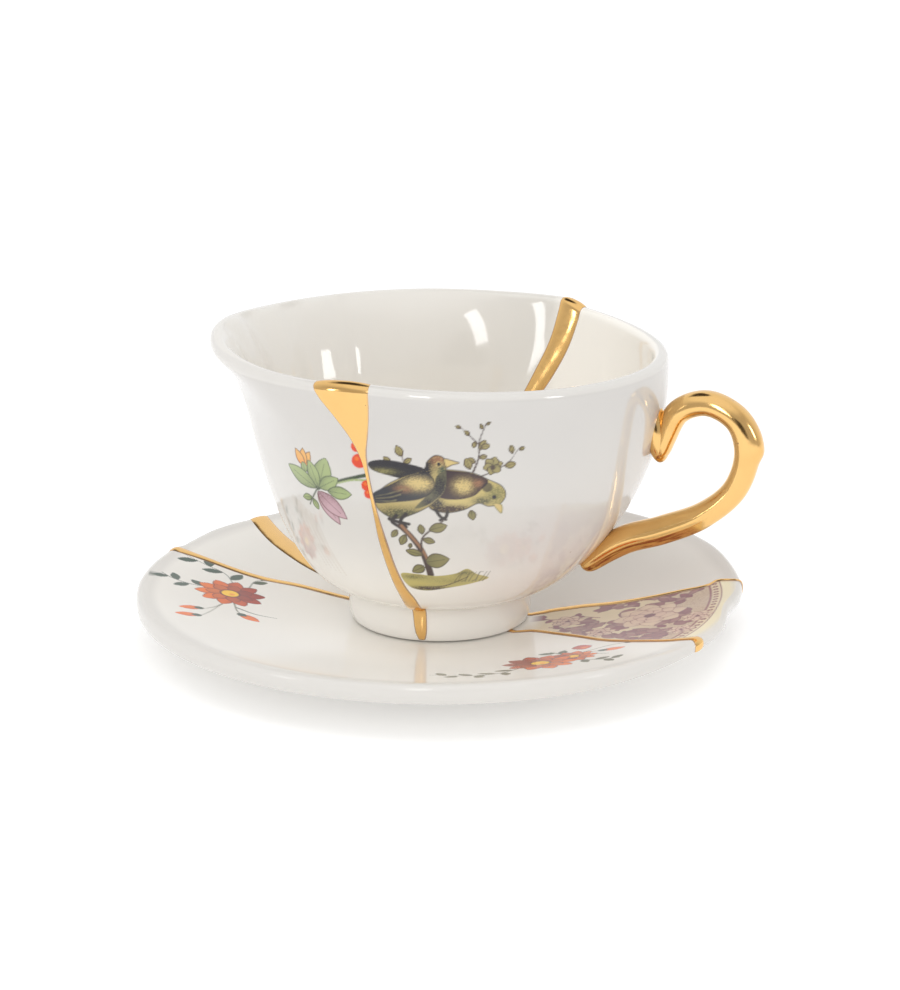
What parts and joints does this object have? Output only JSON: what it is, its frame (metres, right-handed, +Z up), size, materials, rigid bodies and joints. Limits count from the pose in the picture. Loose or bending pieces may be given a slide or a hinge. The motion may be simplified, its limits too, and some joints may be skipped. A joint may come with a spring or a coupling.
{
  "type": "kintsugi cup and saucer",
  "caption": "Porcelain teacup with a gilded loop handle, standing on its saucer, both pieced from unlike sherds with raised gold seams.",
  "frame": {"origin": "middle of the footprint, on the surface that the saucer stands on, under the cup's axis", "axes": "+Z up, -Y towards the front, with the handle on the +X side and 18 degrees forward of it"},
  "size_m": [0.1469, 0.146, 0.0763],
  "materials": {
    "saucer_glaze": "clear glossy glaze over warm white porcelain with printed flowers",
    "cup_glaze": "clear glossy glaze over white porcelain with printed birds and flowers",
    "gold_lustre": "polished fired gold lustre"
  },
  "bodies": {
    "root": {"saucer": "saucer_glaze", "cup": "cup_glaze"}
  },
  "joints": []
}
